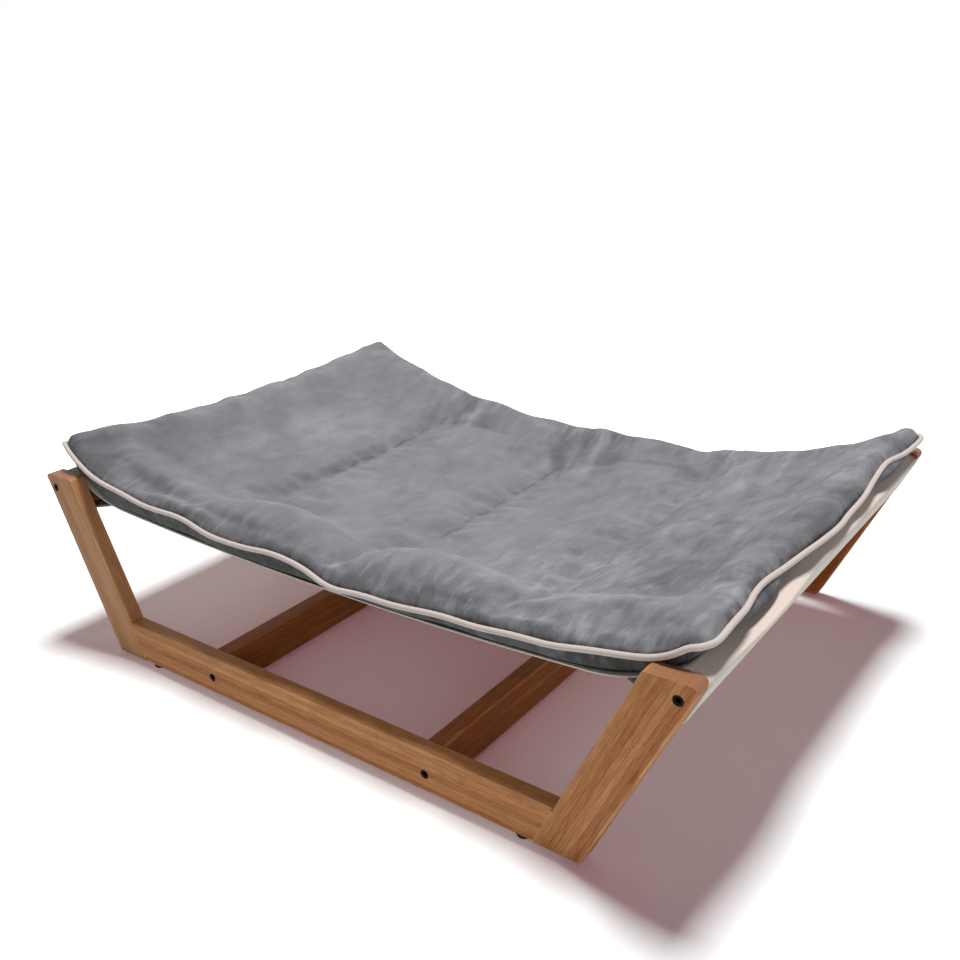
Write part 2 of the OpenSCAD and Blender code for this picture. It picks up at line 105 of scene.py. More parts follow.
# %% A socket that can be added and multiplied
class Level:
    """A shader socket that Python's own signs can do sums with."""

    def __init__(self, finish, socket):
        self.finish = finish
        self.socket = socket

    def sum(self, operation, *terms):
        return self.finish.node("ShaderNodeMath", {"operation": operation}, dict(enumerate(terms)))

    def __add__(self, other):
        return self.sum("ADD", self, other)

    def __radd__(self, other):
        return self.sum("ADD", other, self)

    def __sub__(self, other):
        return self.sum("SUBTRACT", self, other)

    def __rsub__(self, other):
        return self.sum("SUBTRACT", other, self)

    def __mul__(self, other):
        return self.sum("MULTIPLY", self, other)

    def __rmul__(self, other):
        return self.sum("MULTIPLY", other, self)

    def __truediv__(self, other):
        return self.sum("DIVIDE", self, other)

    def __abs__(self):
        return self.sum("ABSOLUTE", self)

    def whole(self):
        return self.sum("FLOOR", self)

    def part(self):
        return self.sum("FRACT", self)

    def sine(self):
        return self.sum("SINE", self)

    def least(self, other):
        return self.sum("MINIMUM", self, other)

    def most(self, other):
        return self.sum("MAXIMUM", self, other)

    def between(self, low, high):
        """0 below low, 1 above high, and a smooth step from one to the other."""
        return self.finish.node(
            "ShaderNodeMapRange", {"interpolation_type": "SMOOTHSTEP"},
            {"Value": self, "From Min": low, "From Max": high},
        )


# %% A finish, built one node at a time
class Finish:
    """A material, or the sky, and the nodes that make its look."""

    def __init__(self, owner):
        """Takes the name of a new material, or a world."""
        self.owner = bpy.data.materials.new(owner) if isinstance(owner, str) else owner
        self.owner.use_nodes = True
        self.tree = self.owner.node_tree
        self.tree.nodes.clear()

    def node(self, kind, settings=None, sockets=None, out=0):
        made = self.tree.nodes.new(kind)
        for name, value in (settings or {}).items():
            if name == "stops":
                self.stops(made.color_ramp, value)
            else:
                setattr(made, name, value)
        for key, value in (sockets or {}).items():
            if isinstance(value, Level):
                self.tree.links.new(value.socket, made.inputs[key])
            else:
                made.inputs[key].default_value = value
        return Level(self, made.outputs[out]) if made.outputs else None

    @staticmethod
    def stops(ramp, stops):
        for place, _ in stops[2:]:
            ramp.elements.new(place)
        for element, (place, colour) in zip(ramp.elements, stops):
            element.position = place
            element.color = (*colour, 1)

    def where(self, source="Object"):
        return self.node("ShaderNodeTexCoord", out=source)

    def stored(self, name):
        return self.node("ShaderNodeAttribute", {"attribute_name": name}, out="Fac")

    def turned(self, vector, turn=(0, 0, 0), scale=(1, 1, 1)):
        return self.node("ShaderNodeMapping", None, {"Vector": vector, "Rotation": turn, "Scale": scale})

    def split(self, vector):
        made = self.node("ShaderNodeSeparateXYZ", None, {"Vector": vector}).socket.node
        return [Level(self, socket) for socket in made.outputs]

    def joined(self, x, y, z):
        return self.node("ShaderNodeCombineXYZ", None, {"X": x, "Y": y, "Z": z})

    def cloud(self, vector, scale, detail=2, roughness=0.5, distortion=0):
        return self.node(
            "ShaderNodeTexNoise", None,
            {"Vector": vector, "Scale": scale, "Detail": detail,
             "Roughness": roughness, "Distortion": distortion},
        )

    def ramp(self, level, stops):
        return self.node("ShaderNodeValToRGB", {"stops": stops}, {"Fac": level})

    def mix(self, level, first, second):
        """Mixes two colours, which a Mix node takes in its sockets 6 and 7 and gives in its output 2."""
        return self.node(
            "ShaderNodeMix", {"data_type": "RGBA"},
            {0: level, 6: self.rgba(first), 7: self.rgba(second)}, out=2,
        )

    @staticmethod
    def rgba(colour):
        return colour if isinstance(colour, Level) else (*colour, 1)

    def relief(self, height, depth):
        return self.node("ShaderNodeBump", None, {"Height": height, "Distance": depth})

    def close(self, **sockets):
        """Ends the net in one shader. Words of a socket's name are joined by underscores."""
        shader = self.node(
            "ShaderNodeBsdfPrincipled", None,
            {name.replace("_", " "): value for name, value in sockets.items()},
        )
        self.node("ShaderNodeOutputMaterial", None, {"Surface": shader})
        return self.owner


print("socket sums ready")

# %% [markdown]
# ## Floor and light
#
# The photograph has a white ground with a soft mauve shadow under the object, and its edges are about as
# soft as those of a studio softbox overhead. So the main lamp is about a metre wide, high up and a little
# behind, with a low fill from the front right and a faint sky. The floor has a little light of its own
# for the camera alone: mauve where the shadow falls, paler before the front rail, and white further out.

# %% Floor
FLOOR_HALF = 30
DEEP_MAUVE, LEFT_MAUVE, RAIL_MAUVE = (0.112, 0.014, 0.034), (0.192, 0.099, 0.104), (0.235, 0.165, 0.17)
WHITE, MATT_WHITE = (1, 1, 1), (0.87, 0.95, 0.945)
SHADE_X, SHADE_Y, SHADE_FADE = 0.46, 0.36, 0.4
LEFT_SHADE = (0.1, 0.42)
RAIL_FRONT, RAIL_LEFT, RAIL_RIGHT = (0.27, 0.31), (-0.36, -0.24), (0.24, 0.34)

bm = bmesh.new()
bmesh.ops.create_grid(bm, x_segments=1, y_segments=1, size=FLOOR_HALF)
floor_mesh = bpy.data.meshes.new("floor")
bm.to_mesh(floor_mesh)
bm.free()
floor = bpy.data.objects.new("floor", floor_mesh)
scene.collection.objects.link(floor)
floor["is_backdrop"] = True

ground = Finish("floor")
floor_x, floor_y = ground.split(ground.where())[:2]
away = (abs(floor_x) - SHADE_X).most(abs(floor_y) - SHADE_Y)
at_left = (0 - floor_x).between(*LEFT_SHADE)
along_rail = floor_x.between(*RAIL_LEFT) * (1 - floor_x.between(*RAIL_RIGHT))
before_rail = (0 - floor_y).between(*RAIL_FRONT) * along_rail
mauve = ground.mix(at_left, DEEP_MAUVE, LEFT_MAUVE)
mauve = ground.mix(before_rail, mauve, RAIL_MAUVE)
own = ground.mix(away.between(0.0, SHADE_FADE), mauve, WHITE)
seen = ground.node("ShaderNodeLightPath", out="Is Camera Ray")
matt = ground.node("ShaderNodeBsdfDiffuse", None, {"Color": (*MATT_WHITE, 1)})
glow = ground.node("ShaderNodeEmission", None, {"Color": own, "Strength": seen})
lit = ground.node("ShaderNodeAddShader", None, {0: matt, 1: glow})
ground.node("ShaderNodeOutputMaterial", None, {"Surface": lit})
floor_mesh.materials.append(ground.owner)
print("floor:", 2 * FLOOR_HALF, "m wide")

# %% Lamps
OVERHEAD = ((-0.05, 0.52, 5.0), (0, 0, 0), (0.9, 1.0), 245)
FRONT_FILL = ((2.4, -2.0, 0.7), (0.1, 0, 0.12), (1.6, 1.6), 15)
SKY_LEVEL = 0.1


def softbox(name, place, aim, size, power):
    """A lamp of some width and length at a place, turned to a point, with its power in watts."""
    data = bpy.data.lights.new(name, "AREA")
    data.shape = "RECTANGLE"
    data.size, data.size_y = size
    data.energy = power
    lamp = bpy.data.objects.new(name, data)
    lamp.location = place
    lamp.rotation_euler = (Vector(aim) - Vector(place)).to_track_quat("-Z", "Y").to_euler()
    scene.collection.objects.link(lamp)


softbox("overhead", *OVERHEAD)
softbox("front_fill", *FRONT_FILL)

sky = Finish(bpy.data.worlds.new("sky"))
scene.world = sky.owner
rays = sky.node("ShaderNodeLightPath").socket.node.outputs
shown = [Level(sky, rays[name]) for name in ("Is Camera Ray", "Is Glossy Ray", "Is Transmission Ray")]
backdrop = shown[0].most(shown[1]).most(shown[2])
strength = SKY_LEVEL + backdrop * (1 - SKY_LEVEL)
light = sky.node("ShaderNodeBackground", None, {"Color": (*WHITE, 1), "Strength": strength})
sky.node("ShaderNodeOutputWorld", None, {"Surface": light})

# %% [markdown]
# ## Bamboo boards
#
# The boards are laminated bamboo: narrow strips, each cut from another stalk, glued side by side and
# stained a warm brown. A picture of wood would need unwrapping, so the strips come from sums on the place
# of a point. Each strip is a whole number, that number picks its tone, and long thin noise draws its
# fibres. Every board has its own seed, so no two are alike, and the leaning boards turn the pattern by
# the same angle as the wood. The long edges are paler, partly as wear and partly as a painted highlight,
# which needs the board's own width and thickness. The stretchers and the rear right leg are painted
# darker as shade, with less of that edge highlight, and one leg has faded towards grey.

# %% Bamboo finish
LEAN = math.radians(25)
STRIP = 0.0062
STRIP_SHIFT, RUN_SHIFT = 0.0113, 1.37
KNUCKLE_RUN = 0.34
WORN_AND_HIGHLIT_EDGE = (0.0008, 0.0034)
DARK_STRIP = (0.34, 0.08, 0.014)
WARM_STRIP = (0.5, 0.19, 0.062)
PALE_STRIP = (0.69, 0.305, 0.115)
FIBRE = (0.15, 0.05, 0.018)
END_GRAIN = (0.36, 0.165, 0.08)
WORN_AND_HIGHLIT_WOOD = (0.8, 0.47, 0.24)
FADED_WOOD = (0.44, 0.29, 0.19)


def girth(board, axis, lean):
    """Middle and half size of a board along one axis, in the frame that leans with it."""
    turn = Matrix.Rotation(-lean, 3, "Y")
    values = [(turn @ vert.co)["XYZ".index(axis)] for vert in nodes[board].data.vertices]
    return (max(values) + min(values)) / 2, (max(values) - min(values)) / 2


def bamboo(board, seed, along, across, lean, pale_and_shade, faded):
    """A bamboo finish with its fibres along one axis and its strips side by side across another."""
    look = Finish("bamboo_" + board)
    turn = (0, -lean, 0)
    place = dict(zip("XYZ", look.split(look.turned(look.where(), turn))))
    facing = dict(zip("XYZ", look.split(look.turned(look.where("Normal"), turn))))
    other = ({"X", "Y", "Z"} - {along, across}).pop()
    run = place[along] + seed * RUN_SHIFT
    rise = place[across] + seed * STRIP_SHIFT
    deep = place[other]

    def streaks(length, width, **kind):
        """Noise drawn out along the fibres, with so many waves per metre along and across them."""
        return look.cloud(look.joined(run * length, rise * width, deep * width), 1, **kind)

    strips = rise / STRIP
    number = strips.whole()
    draw = look.node("ShaderNodeTexWhiteNoise", {"noise_dimensions": "1D"}, {"W": number}, out="Value")
    glue = 1 - strips.part().least(1 - strips.part()).between(0.0, 0.07)
    drift = look.cloud(look.joined(run * 5, number * 3.1, deep * 8), 1)
    grain = streaks(34, 900, detail=3, roughness=0.65)
    bundles = streaks(80, 1900).between(0.56, 0.7)
    knuckle_at = (run / KNUCKLE_RUN + draw * 7.3).part()
    knuckle = 1 - abs(knuckle_at - 0.5).between(0.004, 0.016)

    # A negative paleness is painted shade, which darkens the whole board.
    tone = 0.15 + pale_and_shade + draw * 0.3 + drift * 0.4 + (grain - 0.5) * 1.3
    wood = look.ramp(tone, [(0.18, DARK_STRIP), (0.48, WARM_STRIP), (0.82, PALE_STRIP)])
    wood = look.mix(bundles * 0.25, wood, FIBRE)
    wood = look.mix(glue * 0.14, wood, FIBRE)
    wood = look.mix(knuckle * 0.14, wood, FIBRE)
    wood = look.mix(faded, wood, FADED_WOOD)

    # Paler long edges: wear, and a painted highlight that is weaker on boards painted darker as shade.
    inside = 0
    for axis in (across, other):
        middle, half = girth(board, axis, lean)
        inside = inside + (half - abs(place[axis] - middle))
    worn = streaks(22, 90, detail=3).between(0.36, 0.6)
    darker = min(pale_and_shade, 0)
    rubbed = (1 - inside.between(*WORN_AND_HIGHLIT_EDGE)) * (0.2 + worn * 0.45) * (1 + 2.2 * darker)
    wood = look.mix(rubbed, wood, WORN_AND_HIGHLIT_WOOD)

    pores = streaks(300, 1500).between(0.45, 0.62)
    end = abs(facing[along]).between(0.75, 0.88)
    wood = look.mix(end, wood, look.mix(pores * 0.45, END_GRAIN, FIBRE))

    height = grain * 0.5 - glue * 0.8 - bundles * 0.35
    return look.close(
        Base_Color=wood, Roughness=0.4 + grain * 0.14, Normal=look.relief(height, 0.00035),
        Specular_IOR_Level=0.2, Coat_Weight=0.03, Coat_Roughness=0.3,
    )


def dress(node, material):
    """Gives one of the solids its finish."""
    mesh = nodes[node].data
    mesh.materials.clear()
    mesh.materials.append(material)
    for face in mesh.polygons:
        face.material_index = 0


# %% Finish each board
# For each board: fibres' axis, strips' axis, lean, how much paler it is (below zero: painted shade), how
# faded.
BOARDS = {
    "front_rail": ("X", "Z", 0.0, 0.05, 0.0), "rear_rail": ("X", "Z", 0.0, 0.0, 0.0),
    # The negative values of the stretchers and the rear right leg are painted shade.
    "left_stretcher": ("Y", "Z", 0.0, -0.35, 0.0), "right_stretcher": ("Y", "Z", 0.0, -0.33, 0.0),
    "left_crossbar": ("Y", "Z", -LEAN, 0.0, 0.0), "right_crossbar": ("Y", "Z", LEAN, 0.0, 0.0),
    "front_left_leg": ("Z", "X", -LEAN, 0.05, 0.25), "rear_left_leg": ("Z", "X", -LEAN, 0.0, 0.0),
    "front_right_leg": ("Z", "X", LEAN, 0.0, 0.0), "rear_right_leg": ("Z", "X", LEAN, -0.42, 0.0),
}
for seed, (board, setting) in enumerate(BOARDS.items()):
    dress(board, bamboo(board, seed, *setting))
print("bamboo boards:", len(BOARDS))

# %% [markdown]
# ## Hardware
#
# The bolts are black socket heads sunk in the wood, the feet are soft rubber, and the screws, inserts and
# dowels only show when the frame is taken apart. Small pieces still need a finish that varies: a worn
# edge, a dusty face, a turned grain. Each is a few lines of the same sums.

# %% Metal, rubber and dowel finishes
BLACK_RUBBER, DUSTY_RUBBER = (0.016, 0.013, 0.013), (0.055, 0.047, 0.046)
DARK_DOWEL, PALE_DOWEL = (0.42, 0.27, 0.13), (0.62, 0.45, 0.25)


def metal(name, colour, worn, roughness):
    """Metal with fine scuffs in a second colour."""
    look = Finish(name)
    place = look.where()
    scuffs = look.cloud(place, 900, detail=4, roughness=0.7)
    marks = look.cloud(place, 240, detail=2)
    tint = look.mix(scuffs.between(0.5, 0.78) * 0.6, colour, worn)
    return look.close(
        Base_Color=tint, Metallic=1.0, Roughness=roughness + marks * 0.2,
        Normal=look.relief(scuffs, 0.00004),
    )


def rubber(name):
    """Black rubber with some dust on it."""
    look = Finish(name)
    place = look.where()
    dust = look.cloud(place, 350, detail=3)
    skin = look.cloud(place, 2600, detail=2)
    tint = look.mix(dust.between(0.45, 0.75) * 0.5, BLACK_RUBBER, DUSTY_RUBBER)
    return look.close(
        Base_Color=tint, Roughness=0.62 + dust * 0.25, Normal=look.relief(skin, 0.0001),
        Specular_IOR_Level=0.4,
    )


def dowel_wood(name):
    """Plain turned wood."""
    look = Finish(name)
    x, y, z = look.split(look.where())
    grain = look.cloud(look.joined(x * 300, y * 60, z * 300), 1, detail=3)
    tint = look.ramp(grain, [(0.3, DARK_DOWEL), (0.7, PALE_DOWEL)])
    return look.close(Base_Color=tint, Roughness=0.62 + grain * 0.15, Normal=look.relief(grain, 0.0002))


# %% Finish the hardware
BLACK_STEEL = metal("black_steel", (0.012, 0.012, 0.013), (0.07, 0.068, 0.066), 0.34)
ZINC = metal("zinc_screw", (0.55, 0.56, 0.58), (0.36, 0.36, 0.37), 0.28)
BRASS = metal("brass_insert", (0.72, 0.53, 0.22), (0.45, 0.31, 0.12), 0.3)
RUBBER = rubber("foot_rubber")
DOWEL = dowel_wood("dowel_wood")
HARDWARE = {
    "stretcher_bolts": BLACK_STEEL, "crossbar_bolts": BLACK_STEEL, "stretcher_inserts": BRASS,
    "crossbar_inserts": BRASS, "feet": RUBBER, "foot_screws": ZINC, "rail_dowels": DOWEL,
    "stretcher_dowels": DOWEL, "crossbar_dowels": DOWEL,
}
for piece, material in HARDWARE.items():
    dress(piece, material)
print("hardware:", len(HARDWARE))

# %% [markdown]
# ## The curve of the canvas
#
# The sling is one length of canvas. At each end it goes over a crossbar and comes back under itself to a
# seam, which makes a sleeve. Between the bars it hangs in a shallow curve that also sags across the
# middle. The cushion lies on the same curve, so the curve is worked out once, in functions that both
# pieces use.

# %% Sizes of the sling, in metres
TOP_X, TOP_Z = 0.419, 0.217
BAR_TOP, BAR_LOW = 0.0115, 0.0515
BAR_OUT, BAR_IN = 0.003, 0.018
TURN_R = 0.0036
TOP_BEND, OUT_BEND, LOW_BEND = (125, 65), (65, -25), (-25, -97)
LEAVE = math.radians(35)
HEM_Z = 0.167
SAG, SAG_POWER = 0.043, 4
TURN_FROM = 0.78
SLEEVES = {1: 0.05, -1: 0.064}
SLING_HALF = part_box("sling")[1].y
HEM_PULL = 0.013


def on_leg(down, inward):
    """The point that far down the lean from a leg's top corner and that far in from its outer face."""
    return Vector((
        TOP_X - down * math.sin(LEAN) - inward * math.cos(LEAN),
        TOP_Z - down * math.cos(LEAN) + inward * math.sin(LEAN),
    ))


def around(centre, start, end, steps=5):
    """Points on a bend of the canvas, from one facing angle to another, in degrees."""
    angles = [math.radians(start + (end - start) * i / steps) for i in range(steps + 1)]
    return [centre + TURN_R * Vector((math.cos(a), math.sin(a))) for a in angles]


SHEET_X, SHEET_TOP = around(on_leg(BAR_TOP, BAR_IN), *TOP_BEND)[0]
HEM_RISE = SHEET_TOP - HEM_Z
TURN_SPAN = 1 - TURN_FROM
TURN_RISE = (math.tan(LEAVE) * SHEET_X - 2 * HEM_RISE) / (2 / TURN_SPAN - 2)


def hem_y(x):
    """Half width of the canvas, whose free hems pull in between the bars."""
    return SLING_HALF - HEM_PULL * max(0, 1 - (x / SHEET_X) ** 2)


def sheet_at(x, v):
    """Height of the canvas between the bars at v, a share of the way out to its hem."""
    k = min(abs(x) / SHEET_X, 1)
    turn = max(0, (k - TURN_FROM) / TURN_SPAN)
    hem = HEM_Z + (HEM_RISE - TURN_RISE) * k * k + TURN_RISE * turn * turn
    return hem - SAG * (1 - k * k) * (1 - v ** SAG_POWER)


print("canvas leaves the bars at x", round(SHEET_X, 4), "z", round(SHEET_TOP, 4))

# %% [markdown]
# ## The sling
#
# Canvas could be draped by a simulation, but here it is held taut by its own weight and the cushion's, so
# its shape is known. A grid is laid along the path of the cloth, row by row from front to rear, and a
# Solidify modifier gives it thickness. The hems are turned over, so they are twice as thick: a vertex
# group tells the modifier where. Where the sleeve is slack it lifts off the bar in a long lens-shaped
# fold.

# %% Path of the canvas
FOLDS = {1: (-0.165, 0.125, 0.008), -1: (0.1, 0.14, 0.004)}
FOLD_SHARES = (0, 0, 0.1, 0.2, 0.35, 0.5, 0.7, 0.85, 1.0, 1.0, 0.9, 0.75, 0.6, 0.4, 0.2, 0.08, 0, 0)
FACE_STEPS = (0.1, 0.2, 0.35, 0.5, 0.65, 0.8)
BACK_STEPS = (0.25, 0.5, 0.75, 1.0)
SEAM_LAP = 0.0023
SHEET_STEPS = 70


def slack(side, v):
    """How far the sleeve lifts off its bar at this depth."""
    middle, half, lift = FOLDS[side]
    t = (v * SLING_HALF - middle) / half
    return lift * (1 - t * t) ** 2 if abs(t) < 1 else 0.0


def sleeve_path(side, v):
    """The canvas round one bar, from the sheet to the sleeve's seam."""
    seam_x = SHEET_X - SLEEVES[side]
    seam = Vector((seam_x, sheet_at(seam_x, v) - SEAM_LAP))
    out = Vector((math.cos(LEAN), -math.sin(LEAN)))
    up = Vector((math.sin(LEAN), math.cos(LEAN)))
    bends = around(on_leg(BAR_TOP, BAR_IN), *TOP_BEND) + around(on_leg(BAR_TOP, BAR_OUT), *OUT_BEND)
    downs = [BAR_TOP + (BAR_LOW - BAR_TOP) * t for t in FACE_STEPS]
    face = [on_leg(down, BAR_OUT) + TURN_R * out for down in downs]
    fold = 0.5 * out + 0.8 * up
    raised = [p + slack(side, v) * share * fold for p, share in zip(bends + face, FOLD_SHARES)]
    low = around(on_leg(BAR_LOW, BAR_OUT), *LOW_BEND)
    back = [low[-1].lerp(seam, t) for t in BACK_STEPS]
    return raised + low + back


def canvas_path(v):
    """The whole length of canvas at one depth, from the left sleeve's seam to the right one's."""
    right = sleeve_path(1, v)
    left = [Vector((-p.x, p.y)) for p in reversed(sleeve_path(-1, v))]
    xs = [-SHEET_X * math.cos(math.pi * i / SHEET_STEPS) for i in range(1, SHEET_STEPS)]
    return left + [Vector((x, sheet_at(x, v))) for x in xs] + right


def lengths(path):
    """How far each point of a path is from its start."""
    far = [0.0]
    for a, b in zip(path, path[1:]):
        far.append(far[-1] + (b - a).length)
    return far


# %% Cloth from a grid
def cloth_grid(name, columns, rows, place, chart):
    """A grid with u and v from -1 to 1, whose points move to place(u, v) and whose UV map is chart(u, v)."""
    bm = bmesh.new()
    bmesh.ops.create_grid(bm, x_segments=columns, y_segments=rows, size=1)
    uv = bm.loops.layers.uv.new("cloth")
    for face in bm.faces:
        face.smooth = True
        for loop in face.loops:
            loop[uv].uv = chart(loop.vert.co.x, loop.vert.co.y)
    for vert in bm.verts:
        vert.co = place(vert.co.x, vert.co.y)
    mesh = bpy.data.meshes.new(name)
    bm.to_mesh(mesh)
    bm.free()
    made = bpy.data.objects.new(name, mesh)
    scene.collection.objects.link(made)
    return made


SLING_ROWS = 64
HEM = 0.016
CANVAS_T = 0.0016
SINGLE_SHARE = 0.55
middle_run = lengths(canvas_path(0))
sling_columns = len(middle_run) - 1
paths = {}


def sling_point(u, v):
    """Place of a point of the hung canvas."""
    if v not in paths:
        paths[v] = canvas_path(v)
    spot = paths[v][round((u + 1) / 2 * sling_columns)]
    return Vector((spot.x, v * hem_y(spot.x), spot.y))


def sling_chart(u, v):
    """Place of the same point on the flat canvas, in metres."""
    return middle_run[round((u + 1) / 2 * sling_columns)], v * SLING_HALF


sling = cloth_grid("canvas_sling", sling_columns, SLING_ROWS, sling_point, sling_chart)
hem_group = sling.vertex_groups.new(name="thickness")
for vert in sling.data.vertices:
    turned = hem_y(vert.co.x) - abs(vert.co.y) < HEM
    hem_group.add([vert.index], 1.0 if turned else SINGLE_SHARE, "REPLACE")
thick = sling.modifiers.new("thickness", "SOLIDIFY")
thick.thickness = CANVAS_T
thick.offset = 0
thick.vertex_group = "thickness"

# %% [markdown]
# ## Canvas finish
#
# Canvas is a plain weave: each thread goes over one and under the next. Two crossing sine waves on the UV
# map, which is in metres, give the threads their true pitch, and a little noise makes some threads
# thicker. Two rows of stitches run along each hem, and the sleeves are painted a rosy shade where they go
# over the bars.

# %% Canvas
THREAD = 0.0011
STITCH = 0.0042
STITCH_ROWS = (0.0035, HEM - 0.002)
STITCH_EDGE = (0.0002, 0.0007)
PAINTED_SHADE_HEIGHTS = (0.2, 0.214)
CREAM = (0.84, 0.77, 0.69)
OAT = (0.7, 0.62, 0.54)
ROSE_SHADE = (0.8, 0.64, 0.59)
SEWING_THREAD = (0.72, 0.66, 0.6)


def canvas(name):
    """Plain woven canvas with stitched hems."""
    look = Finish(name)
    u, v = look.split(look.where("UV"))[:2]
    z = look.split(look.where())[2]
    turn = math.pi / THREAD
    weave = (u * turn).sine() * (v * turn).sine()
    slub = look.cloud(look.joined(u * 40, v * 900, 0), 1) + look.cloud(look.joined(u * 900, v * 40, 0), 1)
    stain = look.cloud(look.where(), 9, detail=3)
    tint = look.mix((slub - 1) * 0.5 + stain * 0.5, OAT, CREAM)
    # Painted rosy shade high on the sleeves, where they go over the bars.
    tint = look.mix(z.between(*PAINTED_SHADE_HEIGHTS) * 0.6, tint, ROSE_SHADE)

    edge = SLING_HALF - abs(v)
    off = abs(edge - STITCH_ROWS[0]).least(abs(edge - STITCH_ROWS[1]))
    rows = 1 - off.between(*STITCH_EDGE)
    dash = abs((u / STITCH).part() - 0.5).between(0.1, 0.2)
    thread = rows * (1 - dash)
    tint = look.mix(thread * 0.5, tint, SEWING_THREAD)
    height = weave * 0.5 + slub * 0.5 + thread * 2 - rows * dash
    return look.close(
        Base_Color=tint, Roughness=0.88, Normal=look.relief(height, 0.00025), Specular_IOR_Level=0.2,
        Sheen_Weight=0.08, Sheen_Roughness=0.6,
    )


sling.data.materials.append(canvas("canvas"))
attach(sling, "frame")
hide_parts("sling")

# %% [markdown]
# ## The cushion's form
#
# The cushion is two panels of soft brushed cloth, sewn together round a piped seam and quilted through by
# three rows of stitches. Its outline pulls in between the corners, and its front is stuffed into a roll
# between those rows. It starts as a flat grid with a top and a bottom, which share the seam: the bottom
# takes the curve of the sling, and the top a low crown that the next step fills out.

# %% Sizes of the cushion, in metres
HALF_LEN = 0.408
HALF_WIDE = 0.296
DRAW_IN, BACK_DRAW_IN, RIGHT_DRAW_IN = 0.011, 0.03, 0.001
CORNER_IN = 0.010
REST = 0.0024
SEAM_H = 0.0185
END_LEAN = math.radians(12)
LIP, LEFT_LIP, RIGHT_LIP, LIP_W = 0.011, 0.024, 0.015, 0.018
CROWN, CROWN_W = 0.008, 0.06
ROLL_H, ROLL_W, ROLL_RUN = 0.016, 0.062, 0.085
BELLY_W = 0.009
CHANNELS = (-0.205, 0.005, 0.21)
CHANNEL_DEPTH, STITCH_W, VALLEY_W = 0.0035, 0.008, 0.03
LOBES = (0.65, 1.0, 1.0, 0.8)
DIPS = (0.0, 0.2, 0.1, 0.45, 0.0)


def hump(x, middle, width):
    """A soft bell of height 1."""
    return math.exp(-((x - middle) / width) ** 2)


def swell(x, humps):
    """Sum of soft humps, each given by its middle, its height and its width."""
    return sum(height * hump(x, middle, width) for middle, height, width in humps)


# %% Plan of the cushion
CORNERS = {(-1, -1): (0.002, 0.0, 0.012), (-1, 1): (-0.004, 0.010, 0.004),
           (1, 1): (0.014, 0.008, -0.004), (1, -1): (0.004, -0.004, 0.002)}
RIGHT_DRAWS = ((-0.155, 0.009, 0.055), (0.18, 0.01, 0.05))


def pulled(u, v):
    """How far the nearest corner is pulled out of place, fading towards the middle."""
    total = Vector((0, 0, 0))
    for (cu, cv), (dx, dy, dz) in CORNERS.items():
        near = max(0, (1 + cu * u) / 2) ** 6 * max(0, (1 + cv * v) / 2) ** 6
        total += near * Vector((cu * dx, cv * dy, dz))
    return total


def outline(u, v):
    """Plan of the cushion: drawn in between its corners, a little wavy along the seam."""
    corner = CORNER_IN * (u * u * v * v) ** 8
    x = u * (HALF_LEN - (RIGHT_DRAW_IN if u > 0 else DRAW_IN) * (1 - v * v) - corner)
    draw = DRAW_IN if v < 0 else DRAW_IN + (BACK_DRAW_IN - DRAW_IN) * v
    y = v * (HALF_WIDE - draw * (1 - u * u) - corner)
    end_wave = 0.0006 * math.sin(38 * y + 1.4 * u) + 0.0004 * math.sin(81 * y)
    x += abs(u) ** 9 * u * (1 - v ** 8) * (1.2 + u) * end_wave
    side_wave = 0.0018 * math.sin(33 * x + 0.7 * v) + 0.0012 * math.sin(71 * x)
    y += abs(v) ** 9 * v * (1 - u ** 8) * side_wave
    x -= max(0, u) ** 9 * swell(y, RIGHT_DRAWS)
    pull = pulled(u, v)
    return x + pull.x, y + pull.y, pull.z


# %% Height of the seam
FRONT_SWELLS = ((-0.32, 0.007, 0.045), (-0.205, 0.005, 0.05), (-0.06, 0.007, 0.034), (0.02, -0.006, 0.03),
                (0.06, -0.005, 0.05), (0.15, -0.0045, 0.07), (0.315, 0.003, 0.03), (0.385, -0.006, 0.03))
BACK_SWELLS = ((-0.31, 0.011, 0.06), (0.02, -0.005, 0.16), (0.17, -0.016, 0.055), (0.26, -0.01, 0.06),
               (0.325, 0.004, 0.03))
RIGHT_SWELLS = ((-0.17, 0.005, 0.07), (0.05, -0.006, 0.08), (0.19, 0.004, 0.05))
UNDER_SWELLS = ((-0.165, 0.026, 0.06), (0.19, 0.026, 0.06))
UNDER_W = 0.0128
END_SINK = 0.011


def lie_z(x, y):
    """Height of the canvas under the cushion, which bends over less steeply past the bars."""
    past = max(0, abs(x) - SHEET_X)
    return sheet_at(x, min(abs(y) / hem_y(x), 1)) + past * math.tan(END_LEAN)


def seam_z(x, y):
    """Height of the seam, which swells and sinks along each edge."""
    front, back = max(0, -y / HALF_WIDE) ** 4, max(0, y / HALF_WIDE) ** 4
    end = abs(x / HALF_LEN) ** 10
    wave = 0.0012 * math.sin(77 * y) + (swell(y, RIGHT_SWELLS) if x > 0 else 0)
    side = swell(x, FRONT_SWELLS) * front + swell(x, BACK_SWELLS) * back
    return lie_z(x, y) + REST + SEAM_H + side + end * (wave - END_SINK * (1 - front - back))


# %% Panels of the cushion
def rounded(gap, width):
    """Rises from 0 at the seam to 1 at that width from it, like a quarter of a circle."""
    q = 1 - min(gap / width, 1)
    return math.sqrt(1 - q * q)


def seam_gaps(u, v):
    """Distances to the nearest end and to the nearest long side, on the flat panel."""
    return (1 - abs(u)) * HALF_LEN, (1 - abs(v)) * HALF_WIDE


def seam_gap(u, v):
    """One distance to the seam, which rounds off at the corners."""
    end, side = seam_gaps(u, v)
    return end * side / max(math.hypot(end, side), 1e-6)


def eased(t):
    """A smooth step from 0 to 1."""
    t = min(max(t, 0), 1)
    return t * t * (3 - 2 * t)


